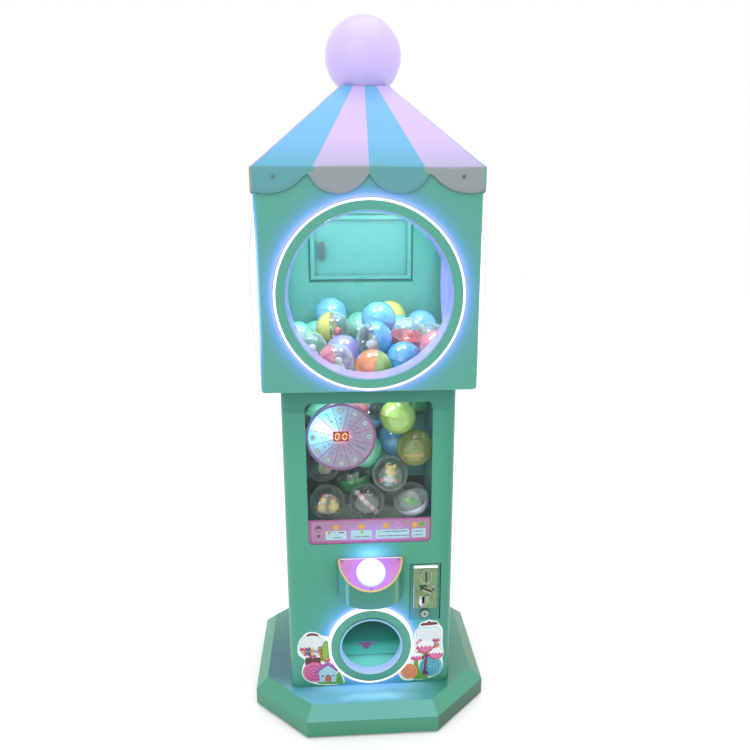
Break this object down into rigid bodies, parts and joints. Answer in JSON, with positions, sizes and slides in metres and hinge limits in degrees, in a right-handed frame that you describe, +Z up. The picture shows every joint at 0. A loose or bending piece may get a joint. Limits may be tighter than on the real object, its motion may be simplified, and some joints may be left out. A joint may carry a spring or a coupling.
{
  "type": "capsule toy machine",
  "caption": "Free-standing capsule toy machine: octagonal plinth, column with window, push button, coin unit and prize outlet, head with round lit windows, striped pyramid roof and globe.",
  "frame": {"origin": "on the floor under the middle of the octagonal plinth", "axes": "+Z up, +X to the right of a person facing the machine, the front with the button and outlet faces -Y"},
  "size_m": [0.64, 0.6, 1.82],
  "materials": {
    "mint_paint": "glossy powder coat, mint green",
    "inner_mint": "glossy bright mint, inside surfaces",
    "dark_steel": "matt dark steel",
    "zinc": "zinc-plated steel",
    "chrome": "bright plated casting",
    "rubber_foot": "matt rubber-faced pad",
    "clear_pane": "clear acrylic sheet",
    "halo_white": "lit white diffuser",
    "tube_violet": "lit violet-white acrylic",
    "roof_stripes": "striped translucent blue and white, lit from inside",
    "globe_white": "lit opal ball",
    "strip_print": "printed pink card",
    "wheel_print": "printed translucent disc",
    "wheel_trim": "magenta ring",
    "display_red": "dark red display window",
    "plate_print": "printed pink and violet plate",
    "button_white": "lit white cap",
    "black_plastic": "black moulded plastic",
    "board_green": "electronics case",
    "rotor_plastic": "moulded rotor",
    "capsule_shell": "clear and pastel capsule halves"
  },
  "bodies": {
    "cabinet": {"base_frame": "dark_steel", "base_plinth": "mint_paint", "button_body": "black_plastic", "button_hood": "mint_paint", "button_plate": "plate_print", "capsules": "capsule_shell", "coin_box": "zinc", "column_shell": "mint_paint", "column_window_pane": "clear_pane", "control_board": "board_green", "cover_screws": "zinc", "digit_display": "display_red", "dispenser_deck": "inner_mint", "front_halo_diffuser": "halo_white", "front_ring_cover": "mint_paint", "front_window_pane": "clear_pane", "front_window_tube": "tube_violet", "globe": "globe_white", "globe_lamp": "globe_white", "head_funnel": "inner_mint", "head_shell": "mint_paint", "hinge_pins": "zinc", "hopper_bin": "inner_mint", "instruction_strip": "strip_print", "left_halo_diffuser": "halo_white", "left_ring_cover": "mint_paint", "left_window_pane": "clear_pane", "left_window_tube": "tube_violet", "levelling_feet": "rubber_foot", "outlet_halo_diffuser": "halo_white", "outlet_ring_cover": "mint_paint", "outlet_tube": "tube_violet", "power_inlet": "black_plastic", "power_supply": "zinc", "prize_chute": "inner_mint", "right_halo_diffuser": "halo_white", "right_ring_cover": "mint_paint", "right_window_pane": "clear_pane", "right_window_tube": "tube_violet", "ring_led_strips": "halo_white", "roof_light_board": "globe_white", "roof_shell": "roof_stripes", "rotor_motor": "zinc", "wheel_face": "wheel_print", "wheel_housing": "black_plastic", "wheel_rim": "wheel_trim"},
    "push_button": {"button_dome": "button_white"},
    "prize_flap": {"prize_flap": "inner_mint"},
    "coin_door": {"coin_door": "mint_paint", "coin_faceplate": "chrome", "coin_return_cup": "chrome", "coin_mechanism": "black_plastic", "coin_lock": "zinc"},
    "reject_lever": {"reject_lever": "chrome"},
    "coin_lock_cam": {"coin_lock_cam": "zinc"},
    "capsule_rotor": {"capsule_rotor": "rotor_plastic"},
    "refill_door": {"head_rear_door": "mint_paint"},
    "refill_door_cam": {"head_door_cam": "zinc"},
    "service_door": {"column_rear_door": "mint_paint"},
    "service_door_cam": {"column_door_cam": "zinc"}
  },
  "joints": [
    {"name": "button_press", "type": "slide", "parent": "cabinet", "child": "push_button", "axis": [0, 0.6383, -0.7698], "range_m": [0, 0.004], "stiffness_N_per_m": 300, "springref_m": -0.003},
    {"name": "flap_hinge", "type": "hinge", "parent": "cabinet", "child": "prize_flap", "pos_m": [0, -0.139, 0.29], "axis": [1, 0, 0], "range_deg": [0, 70]},
    {"name": "coin_door_hinge", "type": "hinge", "parent": "cabinet", "child": "coin_door", "pos_m": [0.1825, -0.1954, 0.36], "axis": [0, 0, 1], "range_deg": [0, 75]},
    {"name": "reject_lever_tip", "type": "hinge", "parent": "coin_door", "child": "reject_lever", "pos_m": [0.1505, -0.199, 0.366], "axis": [1, 0, 0], "range_deg": [0, 15], "stiffness_Nm_per_rad": 0.05, "springref_deg": -17.19},
    {"name": "coin_lock_turn", "type": "hinge", "parent": "coin_door", "child": "coin_lock_cam", "pos_m": [0.1467, -0.185, 0.2971], "axis": [0, -1, 0], "range_deg": [0, 90]},
    {"name": "rotor_spin", "type": "hinge", "parent": "cabinet", "child": "capsule_rotor", "pos_m": [0, -0.036, 0.522], "axis": [0, 0, 1], "continuous": true},
    {"name": "refill_door_hinge", "type": "hinge", "parent": "cabinet", "child": "refill_door", "pos_m": [0.166, 0.2485, 1.248], "axis": [0, 0, -1], "range_deg": [0, 110]},
    {"name": "refill_lock_turn", "type": "hinge", "parent": "refill_door", "child": "refill_door_cam", "pos_m": [-0.117, 0.23, 1.258], "axis": [0, 1, 0], "range_deg": [0, 90]},
    {"name": "service_door_hinge", "type": "hinge", "parent": "cabinet", "child": "service_door", "pos_m": [0.161, 0.206, 0.31], "axis": [0, 0, -1], "range_deg": [0, 110]},
    {"name": "service_lock_turn", "type": "hinge", "parent": "service_door", "child": "service_door_cam", "pos_m": [-0.118, 0.187, 0.33], "axis": [0, 1, 0], "range_deg": [0, 90]}
  ]
}
